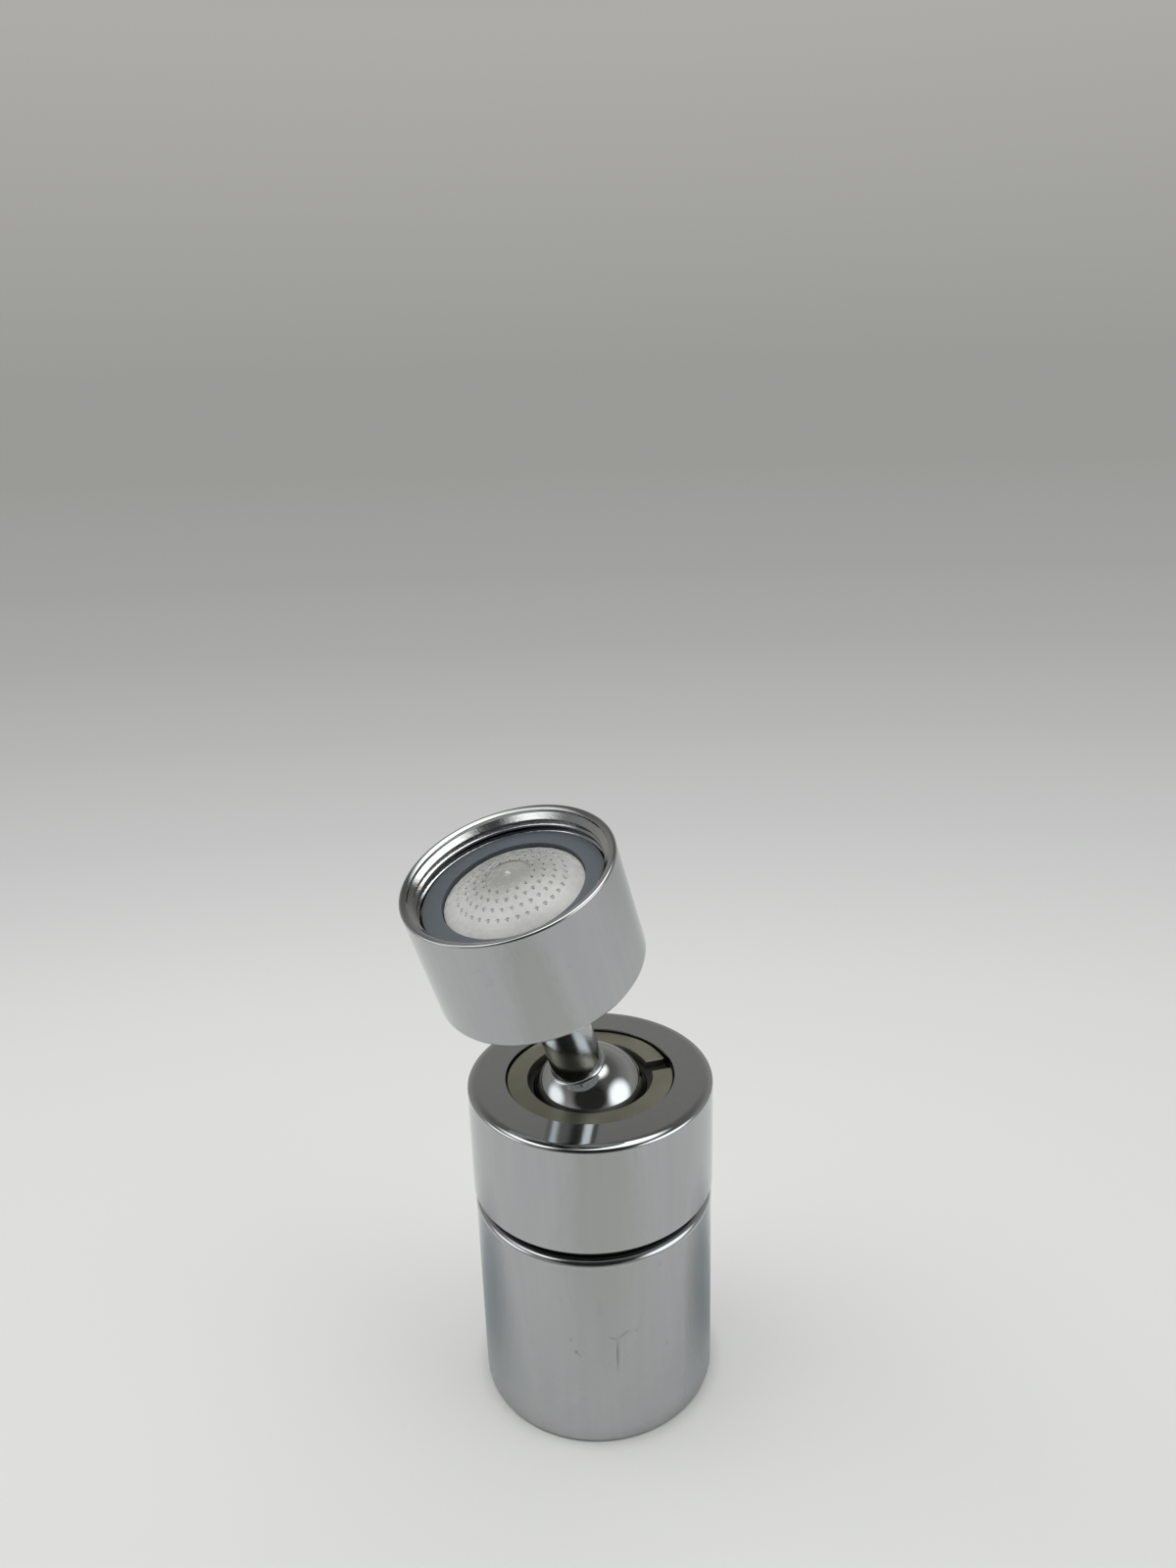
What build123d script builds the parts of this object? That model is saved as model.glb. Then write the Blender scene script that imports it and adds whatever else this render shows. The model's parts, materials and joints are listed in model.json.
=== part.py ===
from build123d import *

import os
from math import acos, cos, radians, sin, sqrt

# Swivel tap aerator, in millimetres, +Z up, origin at the centre of the sleeve's foot.
# The inlet cup screws onto a tap and leans on a ball joint in the housing. The sleeve
# below slides on a hollow stem and switches the outlet between stream and spray.

# Running clearances and seats
seat_clearance = 0.05
running_clearance = 0.1
slide_clearance = 0.2

# Outlet stack, from the foot upwards
foot_lip_height = 0.9
foot_lip_width = 0.8
cage_lip_height = 0.4
cage_lip_width = 0.4
grid_thickness = 2.4
grid_border_width = 0.8
grid_cell_rings = 2
grid_cell_wall = 0.4
mesh_thickness = 0.4
jet_disc_thickness = 1.2
jet_slot_count = 8
jet_slot_length = 1.6
jet_slot_width = 0.6
jet_slot_circle = 8.4
spray_plate_thickness = 2.0
spray_slot_count = 20
spray_slot_width = 0.7
spray_slot_land = 0.6

# Stem and slide
nose_socket_depth = 4.0
nose_end_gap = 0.9
nose_seal_height = 1.4
nose_seal_width = 0.9
chamber_height = 5.1
piston_ring_height = 1.7
stop_land_height = 1.6
stop_land_width = 1.6
nose_step = 1.6
stem_wall = 1.8
sleeve_travel = 5.0
stop_clearance = 0.1
flange_thickness = 2.7
tube_wall = 1.45
cage_wall = 1.1
spray_channel = 3.6
spray_port_width = 1.8
spray_port_height = 1.4

# Sleeve
sleeve_wall = 1.6
sleeve_setback = 0.15
sleeve_top_recess = 1.6
sleeve_top_chamfer = 0.45
sleeve_foot_chamfer = 0.3
sleeve_gap = 1.4
bumper_overlap = 0.6

# Ball joint and housing
ball_diameter = 14.5
ball_depth = 3.8
ball_floor_clearance = 0.35
socket_floor = 2.9
socket_wall = 4.65
housing_top_chamfer = 0.7
housing_bottom_chamfer = 0.2
seal_drop = 2.0
seal_height = 2.6
collar_drop = 1.2
collar_contact_rise = 1.9
ring_ball_gap = 0.45
ring_width = 2.4
ring_thread_clearance = 0.25
ring_thickness = 1.1
ring_recess = 0.35
ring_gap_width = 2.4
ring_gap_angle = -28.4
ring_corner_radius = 0.6

# Stud and inlet cup
stem_lean = 18.1
neck_diameter = 6.3
neck_length = 14.75
neck_wall = 0.95
ball_flat_margin = 0.4
thread_minor_diameter = 20.9
cup_wall = 1.75
cup_floor = 3.0
cup_bottom_chamfer = 0.6
lip_outer_chamfer = 0.15
lip_inner_chamfer = 0.6
funnel_height = 5.8
filter_flange_thickness = 1.0
filter_wall = 0.8
filter_rise = 2.15
filter_edge_drop = 0.6
washer_thickness = 2.0
washer_width = 2.2
washer_sink = 2.65

# Heights worked out from the foot upwards
ledge_height = foot_lip_height + cage_lip_height + grid_thickness + mesh_thickness + jet_disc_thickness
cage_top = ledge_height + nose_socket_depth
piston_bottom = cage_top + chamber_height
land_bottom = piston_bottom + piston_ring_height + seat_clearance
land_top = land_bottom + stop_land_height
slide_ledge = land_top + sleeve_travel + stop_clearance
flange_top = slide_ledge + flange_thickness
sleeve_height = flange_top + sleeve_top_recess
housing_bottom = sleeve_height + sleeve_gap
cavity_floor = housing_bottom + socket_floor
ball_radius = ball_diameter / 2
ball_height = cavity_floor + ball_floor_clearance + ball_radius
housing_top = ball_height + ball_depth
ring_top = housing_top - ring_recess
ring_bottom = ring_top - ring_thickness

# Radii worked out from the ball outwards, then from the sleeve inwards
ring_inner_radius = ball_radius + ring_ball_gap
ring_outer_radius = ring_inner_radius + ring_width
socket_radius = ring_outer_radius + ring_thread_clearance
housing_radius = socket_radius + socket_wall
sleeve_radius = housing_radius - sleeve_setback
sleeve_bore = sleeve_radius - sleeve_wall
foot_lip_radius = sleeve_bore - foot_lip_width
tube_radius = sleeve_bore - spray_channel
tube_bore = tube_radius - tube_wall
land_radius = tube_bore - slide_clearance
stem_radius = land_radius - stop_land_width
nose_radius = stem_radius - nose_step
nose_socket_radius = nose_radius + slide_clearance
stem_bore = nose_radius - stem_wall
cage_radius = tube_bore - running_clearance
pocket_radius = cage_radius - cage_wall
grid_hole_radius = pocket_radius - seat_clearance - grid_border_width

# The head leans towards -X about the ball's centre
stem_direction = (-sin(radians(stem_lean)), 0, cos(radians(stem_lean)))
head = Plane(origin=(0, 0, ball_height), x_dir=(0, 1, 0), z_dir=stem_direction)
head_profile = Plane(origin=head.origin, x_dir=head.x_dir, z_dir=head.y_dir.reverse())
stem_axis = Axis(head.origin, stem_direction)

# Places along the stem, from the ball's centre to the cup's lip
neck_radius = neck_diameter / 2
waterway_radius = neck_radius - neck_wall
cup_bottom = ball_radius + neck_length
cup_inner_floor = cup_bottom + cup_floor
filter_shoulder = cup_inner_floor + funnel_height
flange_face = filter_shoulder + filter_flange_thickness
washer_face = flange_face + washer_thickness
cup_lip = washer_face + washer_sink
thread_radius = thread_minor_diameter / 2
cup_radius = thread_radius + cup_wall
washer_outer_radius = thread_radius - running_clearance
washer_inner_radius = washer_outer_radius - washer_width
dome_radius = washer_inner_radius - running_clearance
filter_bore = dome_radius - filter_wall


def tangent_radius(drop, contact_drop):
    """Radius, at a height below the ball's centre, of the cone that touches the ball at another."""
    contact_angle = acos(contact_drop / ball_radius)
    reach = ball_radius + running_clearance - drop * cos(contact_angle)
    return reach / sin(contact_angle)


# Connector cup, turned from bar, with a funnel down to the stud
with BuildPart() as connector_cup:
    with BuildSketch(head_profile):
        with BuildLine():
            Polyline(
                (neck_radius + seat_clearance, cup_bottom),
                (cup_radius, cup_bottom),
                (cup_radius, cup_lip),
                (thread_radius, cup_lip),
                (thread_radius, filter_shoulder),
                (filter_bore, filter_shoulder),
                (neck_radius + seat_clearance, cup_inner_floor),
                close=True,
            )
        make_face()
    revolve(axis=stem_axis)
    lip_edges = connector_cup.edges().filter_by(GeomType.CIRCLE).group_by(stem_axis)[-1]
    chamfer(lip_edges.sort_by(SortBy.RADIUS)[0], lip_inner_chamfer)
    lip_edges = connector_cup.edges().filter_by(GeomType.CIRCLE).group_by(stem_axis)[-1]
    chamfer(lip_edges.sort_by(SortBy.RADIUS)[-1], lip_outer_chamfer)
    bottom_edges = connector_cup.edges().filter_by(GeomType.CIRCLE).group_by(stem_axis)[0]
    chamfer(bottom_edges.sort_by(SortBy.RADIUS)[-1], cup_bottom_chamfer)
connector_cup.part.label = "connector_cup"

# Inlet washer, flat rubber, on the filter's flange
with BuildPart() as inlet_washer:
    with BuildSketch(head.offset(flange_face)):
        Circle(washer_outer_radius)
        Circle(washer_inner_radius, mode=Mode.SUBTRACT)
    extrude(amount=washer_thickness)
inlet_washer.part.label = "inlet_washer"

# Filter dome, a moulded shell whose edge lies a little below the face of the washer that clamps it
with BuildPart() as filter_dome:
    crown = washer_face + filter_rise
    dome_edge = washer_face - filter_edge_drop
    cap_rise = crown - dome_edge
    dome_sphere = (dome_radius**2 + cap_rise**2) / (2 * cap_rise)
    mid_rise = dome_sphere - sqrt(dome_sphere**2 - (dome_radius / 2) ** 2)
    with BuildSketch(head_profile):
        with BuildLine():
            Polyline(
                (0, crown - filter_wall),
                (filter_bore, dome_edge - filter_wall),
                (filter_bore, filter_shoulder),
                (washer_outer_radius, filter_shoulder),
                (washer_outer_radius, flange_face),
                (dome_radius, flange_face),
                (dome_radius, dome_edge),
            )
            ThreePointArc((dome_radius, dome_edge), (dome_radius / 2, crown - mid_rise), (0, crown))
            Line((0, crown), (0, crown - filter_wall))
        make_face()
    revolve(axis=stem_axis)
filter_dome.part.label = "filter_dome"

# Ball stud, a turned ball and neck with the waterway drilled through
with BuildPart() as ball_stud:
    flat_radius = waterway_radius + ball_flat_margin
    flat_drop = sqrt(ball_radius**2 - flat_radius**2)
    neck_root = sqrt(ball_radius**2 - neck_radius**2)
    with BuildSketch(head_profile):
        with BuildLine():
            Line((waterway_radius, -flat_drop), (flat_radius, -flat_drop))
            ThreePointArc((flat_radius, -flat_drop), (ball_radius, 0), (neck_radius, neck_root))
            Polyline(
                (neck_radius, neck_root),
                (neck_radius, cup_inner_floor),
                (waterway_radius, cup_inner_floor),
                (waterway_radius, -flat_drop),
            )
        make_face()
    revolve(axis=stem_axis)
ball_stud.part.label = "ball_stud"

# Split ring, screwed into the socket's mouth above the collar, with a gap for the driver
with BuildPart() as split_ring:
    with BuildSketch(Plane.XY.offset(ring_bottom)):
        Circle(ring_outer_radius)
        Circle(ring_inner_radius, mode=Mode.SUBTRACT)
        with PolarLocations(ring_outer_radius, 1, start_angle=ring_gap_angle):
            Rectangle(2 * ring_inner_radius, ring_gap_width, mode=Mode.SUBTRACT)
    extrude(amount=ring_thickness)
    fillet(split_ring.edges().filter_by(Axis.Z), ring_corner_radius)
split_ring.part.label = "split_ring"

# Bearing collar, whose conical seat holds the ball down above its equator
with BuildPart() as bearing_collar:
    collar_top = ring_bottom - seat_clearance
    collar_bottom = ball_height - collar_drop
    with BuildSketch(Plane.XZ):
        with BuildLine():
            Polyline(
                (tangent_radius(-collar_drop, collar_contact_rise), collar_bottom),
                (socket_radius - running_clearance, collar_bottom),
                (socket_radius - running_clearance, collar_top),
                (tangent_radius(collar_top - ball_height, collar_contact_rise), collar_top),
                close=True,
            )
        make_face()
    revolve(axis=Axis.Z)
bearing_collar.part.label = "bearing_collar"

# Housing, turned, with the ball socket above and the stem's tapped hole in its floor
with BuildPart() as housing:
    with BuildSketch(Plane.XZ):
        with BuildLine():
            Polyline(
                (stem_radius + seat_clearance, housing_bottom),
                (housing_radius, housing_bottom),
                (housing_radius, housing_top),
                (socket_radius, housing_top),
                (socket_radius, cavity_floor),
                (stem_radius + seat_clearance, cavity_floor),
                close=True,
            )
        make_face()
    revolve(axis=Axis.Z)
    top_edges = housing.edges().filter_by(GeomType.CIRCLE).group_by(Axis.Z)[-1]
    chamfer(top_edges.sort_by(SortBy.RADIUS)[-1], housing_top_chamfer)
    bottom_edges = housing.edges().filter_by(GeomType.CIRCLE).group_by(Axis.Z)[0]
    chamfer(bottom_edges.sort_by(SortBy.RADIUS)[-1], housing_bottom_chamfer)
housing.part.label = "housing"

# Ball seal, a rubber ring that the ball presses down on
with BuildPart() as ball_seal:
    seal_contact = seal_drop + seal_height / 2
    seal_bottom_drop = seal_drop + seal_height
    seal_throat = tangent_radius(seal_bottom_drop, seal_contact)
    with BuildSketch(Plane.XZ):
        with BuildLine():
            Polyline(
                (seal_throat, ball_height - seal_bottom_drop),
                (socket_radius - seat_clearance, ball_height - seal_bottom_drop),
                (socket_radius - seat_clearance, ball_height - seal_drop),
                (tangent_radius(seal_drop, seal_contact), ball_height - seal_drop),
                close=True,
            )
        make_face()
    revolve(axis=Axis.Z)
ball_seal.part.label = "ball_seal"

# Ball seat, a ring on the socket's floor that carries the seal
with BuildPart() as ball_seat:
    with BuildSketch(Plane.XY.offset(cavity_floor)):
        Circle(socket_radius - seat_clearance)
        Circle(seal_throat, mode=Mode.SUBTRACT)
    extrude(amount=ball_height - seal_bottom_drop - cavity_floor)
ball_seat.part.label = "ball_seat"

# Valve stem, a tube screwed into the housing, with the stop land and the nose
with BuildPart() as valve_stem:
    nose_end = ledge_height + nose_end_gap
    nose_shoulder = nose_end + nose_seal_height
    nose_seat_radius = nose_socket_radius - running_clearance - nose_seal_width
    with BuildSketch(Plane.XZ):
        with BuildLine():
            Polyline(
                (stem_bore, nose_end),
                (nose_seat_radius, nose_end),
                (nose_seat_radius, nose_shoulder),
                (nose_radius, nose_shoulder),
                (nose_radius, land_bottom),
                (land_radius, land_bottom),
                (land_radius, land_top),
                (stem_radius, land_top),
                (stem_radius, cavity_floor),
                (stem_bore, cavity_floor),
                close=True,
            )
        make_face()
    revolve(axis=Axis.Z)
valve_stem.part.label = "valve_stem"

# Piston ring, the sliding seal under the stop land
with BuildPart() as piston_ring:
    with BuildSketch(Plane.XY.offset(piston_bottom)):
        Circle(tube_bore - running_clearance)
        Circle(nose_radius + seat_clearance, mode=Mode.SUBTRACT)
    extrude(amount=piston_ring_height)
piston_ring.part.label = "piston_ring"

# Nose seal, on the stem's end inside the aerator's socket
with BuildPart() as nose_seal:
    with BuildSketch(Plane.XY.offset(nose_end)):
        Circle(nose_socket_radius - running_clearance)
        Circle(nose_seat_radius + seat_clearance, mode=Mode.SUBTRACT)
    extrude(amount=nose_seal_height - seat_clearance)
nose_seal.part.label = "nose_seal"

# Bumper ring, black rubber under the housing, on which the sleeve's rim stops
with BuildPart() as bumper_ring:
    with BuildSketch(Plane.XY.offset(sleeve_height + stop_clearance)):
        Circle(sleeve_bore + bumper_overlap)
        Circle(stem_radius + slide_clearance, mode=Mode.SUBTRACT)
    extrude(amount=sleeve_gap - stop_clearance)
bumper_ring.part.label = "bumper_ring"

# Sleeve, a turned tube with a lip at its foot
with BuildPart() as sleeve:
    with BuildSketch(Plane.XZ):
        with BuildLine():
            Polyline(
                (foot_lip_radius, 0),
                (sleeve_radius, 0),
                (sleeve_radius, sleeve_height),
                (sleeve_bore, sleeve_height),
                (sleeve_bore, foot_lip_height),
                (foot_lip_radius, foot_lip_height),
                close=True,
            )
        make_face()
    revolve(axis=Axis.Z)
    top_edges = sleeve.edges().filter_by(GeomType.CIRCLE).group_by(Axis.Z)[-1]
    chamfer(top_edges.sort_by(SortBy.RADIUS)[-1], sleeve_top_chamfer)
    foot_edges = sleeve.edges().filter_by(GeomType.CIRCLE).group_by(Axis.Z)[0]
    chamfer(foot_edges.sort_by(SortBy.RADIUS)[-1], sleeve_foot_chamfer)
sleeve.part.label = "sleeve"

# Slide body, moulded, with the flange that the stop land catches and the windows to the spray channel
with BuildPart() as slide_body:
    plate_top = foot_lip_height + spray_plate_thickness
    port_centre = cage_top + chamber_height / 2
    with BuildSketch(Plane.XZ):
        with BuildLine():
            Polyline(
                (tube_bore, plate_top),
                (tube_radius, plate_top),
                (tube_radius, slide_ledge),
                (sleeve_bore - seat_clearance, slide_ledge),
                (sleeve_bore - seat_clearance, flange_top),
                (stem_radius + slide_clearance, flange_top),
                (stem_radius + slide_clearance, slide_ledge),
                (tube_bore, slide_ledge),
                close=True,
            )
        make_face()
    revolve(axis=Axis.Z)
    for port_plane in (Plane.XZ, Plane.YZ):
        with BuildSketch(port_plane):
            with Locations((0, port_centre)):
                Rectangle(spray_port_width, spray_port_height)
        extrude(amount=sleeve_bore, both=True, mode=Mode.SUBTRACT)
slide_body.part.label = "slide_body"

# Spray plate, a ring of slots under the channel between the tube and the sleeve
with BuildPart() as spray_plate:
    slot_circle = (tube_radius + foot_lip_radius) / 2
    slot_length = foot_lip_radius - tube_radius - 2 * spray_slot_land
    with BuildSketch(Plane.XY.offset(foot_lip_height)):
        Circle(sleeve_bore - seat_clearance)
        Circle(tube_bore, mode=Mode.SUBTRACT)
        with PolarLocations(slot_circle, spray_slot_count):
            Rectangle(slot_length, spray_slot_width, mode=Mode.SUBTRACT)
    extrude(amount=spray_plate_thickness)
spray_plate.part.label = "spray_plate"

# Aerator cage, screwed into the slide body from below
with BuildPart() as aerator_cage:
    with BuildSketch(Plane.XZ):
        with BuildLine():
            Polyline(
                (pocket_radius - cage_lip_width, foot_lip_height),
                (cage_radius, foot_lip_height),
                (cage_radius, cage_top),
                (nose_socket_radius, cage_top),
                (nose_socket_radius, ledge_height),
                (pocket_radius, ledge_height),
                (pocket_radius, foot_lip_height + cage_lip_height),
                (pocket_radius - cage_lip_width, foot_lip_height + cage_lip_height),
                close=True,
            )
        make_face()
    revolve(axis=Axis.Z)
aerator_cage.part.label = "aerator_cage"

# Jet disc, which splits the water into a ring of jets
with BuildPart() as jet_disc:
    with BuildSketch(Plane.XY.offset(ledge_height - jet_disc_thickness)):
        Circle(pocket_radius - seat_clearance)
        with PolarLocations(jet_slot_circle / 2, jet_slot_count):
            Rectangle(jet_slot_length, jet_slot_width, mode=Mode.SUBTRACT)
    extrude(amount=jet_disc_thickness)
jet_disc.part.label = "jet_disc"

# Mesh screen, a thin disc on the grid
with BuildPart() as mesh_screen:
    with BuildSketch(Plane.XY.offset(ledge_height - jet_disc_thickness - mesh_thickness)):
        Circle(pocket_radius - seat_clearance)
    extrude(amount=mesh_thickness)
mesh_screen.part.label = "mesh_screen"

# Outlet grid, a honeycomb with a plain border, held by the cage's lip
with BuildPart() as outlet_grid:
    grid_bottom = foot_lip_height + cage_lip_height
    cell_pitch = (grid_hole_radius * sqrt(3) + grid_cell_wall) / (grid_cell_rings * sqrt(3) + 1)
    cell_rows = range(-grid_cell_rings, grid_cell_rings + 1)
    cells = [
        (cell_pitch * (row / 2 + step), cell_pitch * row * sqrt(3) / 2)
        for row in cell_rows
        for step in cell_rows
        if abs(row + step) <= grid_cell_rings
    ]
    with BuildSketch(Plane.XY.offset(grid_bottom)):
        Circle(pocket_radius - seat_clearance)
        with Locations(*cells):
            RegularPolygon(
                (cell_pitch - grid_cell_wall) / 2,
                6,
                major_radius=False,
                rotation=30,
                mode=Mode.SUBTRACT,
            )
    extrude(amount=grid_thickness)
outlet_grid.part.label = "outlet_grid"

os.makedirs("parts", exist_ok=True)
for piece in (
    connector_cup, inlet_washer, filter_dome, ball_stud, split_ring, bearing_collar, housing,
    ball_seal, ball_seat, valve_stem, piston_ring, nose_seal, bumper_ring, sleeve, slide_body,
    spray_plate, aerator_cage, jet_disc, mesh_screen, outlet_grid,
):
    export_step(piece.part, f"parts/{piece.part.label}.step")
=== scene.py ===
# Swivel tap aerator on a pale studio floor: a chromed housing over a sliding sleeve, and a threaded
# inlet cup that leans on a ball joint. Everything is in metres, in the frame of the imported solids.
import json
import math

import bpy
from mathutils import Matrix, Vector


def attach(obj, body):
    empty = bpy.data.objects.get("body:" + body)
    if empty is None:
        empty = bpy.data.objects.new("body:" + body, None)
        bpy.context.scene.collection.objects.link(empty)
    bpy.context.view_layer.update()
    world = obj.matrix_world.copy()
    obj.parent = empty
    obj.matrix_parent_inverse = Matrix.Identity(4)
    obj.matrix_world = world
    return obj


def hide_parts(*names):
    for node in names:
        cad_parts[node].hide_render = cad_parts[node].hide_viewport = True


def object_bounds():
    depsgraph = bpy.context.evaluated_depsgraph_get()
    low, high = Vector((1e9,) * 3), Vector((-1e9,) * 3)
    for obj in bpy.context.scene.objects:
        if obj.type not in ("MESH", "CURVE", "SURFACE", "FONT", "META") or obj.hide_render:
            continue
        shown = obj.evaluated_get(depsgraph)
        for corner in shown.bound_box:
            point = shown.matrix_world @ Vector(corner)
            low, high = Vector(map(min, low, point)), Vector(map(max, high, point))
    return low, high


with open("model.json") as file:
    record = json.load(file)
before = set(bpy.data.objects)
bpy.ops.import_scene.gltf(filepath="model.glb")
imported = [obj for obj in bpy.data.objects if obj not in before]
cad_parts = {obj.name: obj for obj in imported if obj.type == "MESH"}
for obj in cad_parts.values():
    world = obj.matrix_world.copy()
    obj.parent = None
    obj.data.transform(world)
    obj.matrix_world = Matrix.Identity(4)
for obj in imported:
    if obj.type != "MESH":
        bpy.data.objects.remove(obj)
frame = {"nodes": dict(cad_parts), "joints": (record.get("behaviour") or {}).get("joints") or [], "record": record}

cad_low, cad_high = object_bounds()

# Sleeve
# The lower tube, which the object stands on and which slides to switch from stream to spray.
# It is turned from brass bar, polished and chrome plated, with a soft rim and a soft foot.
mm = 0.001
weld = 0.0001 * mm
upright = Matrix.Identity(4)


def turned_sizes(node, stand):
    """Lowest and highest place of a turned solid along its axis, then its smallest and largest radius."""
    to_axis = stand.inverted()
    places = [to_axis @ vertex.co for vertex in frame["nodes"][node].data.vertices]
    heights = [place.z for place in places]
    radii = [place.xy.length for place in places]
    return min(heights), max(heights), min(radii), max(radii)


def select_edges(piece, wanted):
    """Selects, in edit mode, the edges or lone points whose two ends both pass a test."""
    bpy.ops.mesh.select_all(action="DESELECT")
    bpy.ops.object.mode_set(mode="OBJECT")
    for vertex in piece.data.vertices:
        vertex.select = wanted(vertex.co)
    bpy.ops.object.mode_set(mode="EDIT")


def draw_outline(name, outline, roundings, closed=True):
    """Starts a piece as a wire of (radius, height) points and rounds the corners that are named by number."""
    bpy.ops.object.select_all(action="DESELECT")
    bpy.ops.mesh.primitive_plane_add(size=mm)
    piece = bpy.context.object
    piece.name = name
    bpy.ops.object.mode_set(mode="EDIT")
    bpy.ops.mesh.merge(type="CENTER")
    bpy.ops.transform.translate(value=(outline[0][0], 0, outline[0][1]))
    following = outline[1:] + outline[:1] if closed else outline[1:]
    for here, there in zip(outline, following):
        step = (there[0] - here[0], 0, there[1] - here[1])
        bpy.ops.mesh.extrude_region_move(TRANSFORM_OT_translate={"value": step})
    bpy.ops.mesh.select_all(action="SELECT")
    bpy.ops.mesh.remove_doubles(threshold=weld)
    for corner, radius in roundings.items():
        corner_place = Vector((outline[corner][0], 0, outline[corner][1]))
        select_edges(piece, lambda place: (place - corner_place).length < weld)
        bpy.ops.mesh.bevel(affect="VERTICES", offset_type="OFFSET", offset=radius, segments=6, profile=0.5)
    bpy.ops.mesh.select_all(action="SELECT")
    return piece


def turn(name, outline, roundings, closed=True, steps=192):
    """Turns an outline about the Z axis into a solid piece, as on a lathe."""
    piece = draw_outline(name, outline, roundings, closed)
    bpy.ops.mesh.spin(steps=steps, angle=math.tau, center=(0, 0, 0), axis=(0, 0, 1))
    bpy.ops.mesh.select_all(action="SELECT")
    bpy.ops.mesh.remove_doubles(threshold=weld)
    bpy.ops.mesh.normals_make_consistent(inside=False)
    bpy.ops.object.mode_set(mode="OBJECT")
    return piece


def place_piece(piece, stand):
    """Moves a finished piece from its own axis to its place, and leaves its object at the origin."""
    piece.matrix_world = stand
    bpy.ops.object.transform_apply(location=True, rotation=True, scale=True)
    bpy.ops.object.shade_smooth_by_angle(angle=math.radians(35))
    weighted = piece.modifiers.new("flat_faces_stay_flat", "WEIGHTED_NORMAL")
    weighted.keep_sharp = True
    bpy.ops.object.modifier_apply(modifier=weighted.name)


def linear(hex_colour):
    """Linear colour of an sRGB hex value."""
    parts = [int(hex_colour[start:start + 2], 16) / 255 for start in (0, 2, 4)]
    straight = [part / 12.92 if part <= 0.04045 else ((part + 0.055) / 1.055) ** 2.4 for part in parts]
    return (*straight, 1)


def add_node(tree, kind, sockets, stops=(), **settings):
    """Adds a node: each socket gets a constant or another node's output, and stops fill a colour ramp."""
    node = tree.nodes.new(kind)
    for name, value in settings.items():
        setattr(node, name, value)
    for socket, value in sockets.items():
        if isinstance(value, bpy.types.NodeSocket):
            tree.links.new(value, node.inputs[socket])
        else:
            node.inputs[socket].default_value = value
    for number, (position, colour) in enumerate(stops):
        ramp = node.color_ramp.elements
        stop = ramp[number] if number < 2 else ramp.new(position)
        stop.position = position
        stop.color = colour
    return node


def new_material(name, **constants):
    """A material with a Principled shader, its constants set by socket name with underscores for spaces."""
    material = bpy.data.materials.new(name)
    material.use_nodes = True
    tree = material.node_tree
    shader = tree.nodes["Principled BSDF"]
    for socket, value in constants.items():
        shader.inputs[socket.replace("_", " ")].default_value = value
    place = add_node(tree, "ShaderNodeTexCoord", {}).outputs["Object"]
    return material, tree, shader, place


def distance_from_axis(tree, place, stand):
    """Distance of each place from the axis of a piece."""
    along_axis = add_node(tree, "ShaderNodeMapping", {
        "Vector": place,
        "Location": stand.translation,
        "Rotation": stand.to_euler(),
    }, vector_type="TEXTURE").outputs[0]
    across = add_node(tree, "ShaderNodeVectorMath", {
        0: along_axis,
        1: (1, 1, 0),
    }, operation="MULTIPLY").outputs[0]
    return add_node(tree, "ShaderNodeVectorMath", {0: across}, operation="LENGTH").outputs["Value"]


def mark_strength(tree, place, stand, wall_radius, marks):
    """Strength of the marks on a round wall: the strongest of soft spots, each stretched and slanted."""
    strongest = None
    full_strength_from = 0.6
    for angle, height, half_width, half_length, slant, strength in marks:
        mark_place = stand @ Matrix.Rotation(math.radians(angle), 4, "Z")
        mark_place = mark_place @ Matrix.Translation((wall_radius, 0, height * mm))
        mark_place = mark_place @ Matrix.Rotation(math.radians(slant), 4, "X")
        stretched = add_node(tree, "ShaderNodeMapping", {
            "Vector": place,
            "Location": mark_place.translation,
            "Rotation": mark_place.to_euler(),
            "Scale": (mm, half_width * mm, half_length * mm),
        }, vector_type="TEXTURE")
        spot = add_node(tree, "ShaderNodeTexGradient", {
            "Vector": stretched.outputs[0],
        }, gradient_type="SPHERICAL")
        seen = add_node(tree, "ShaderNodeMapRange", {
            "Value": spot.outputs["Fac"],
            "From Max": full_strength_from,
            "To Max": strength,
        }).outputs[0]
        if strongest is None:
            strongest = seen
        else:
            strongest = add_node(tree, "ShaderNodeMath", {
                0: strongest,
                1: seen,
            }, operation="MAXIMUM").outputs[0]
    return strongest


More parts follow.
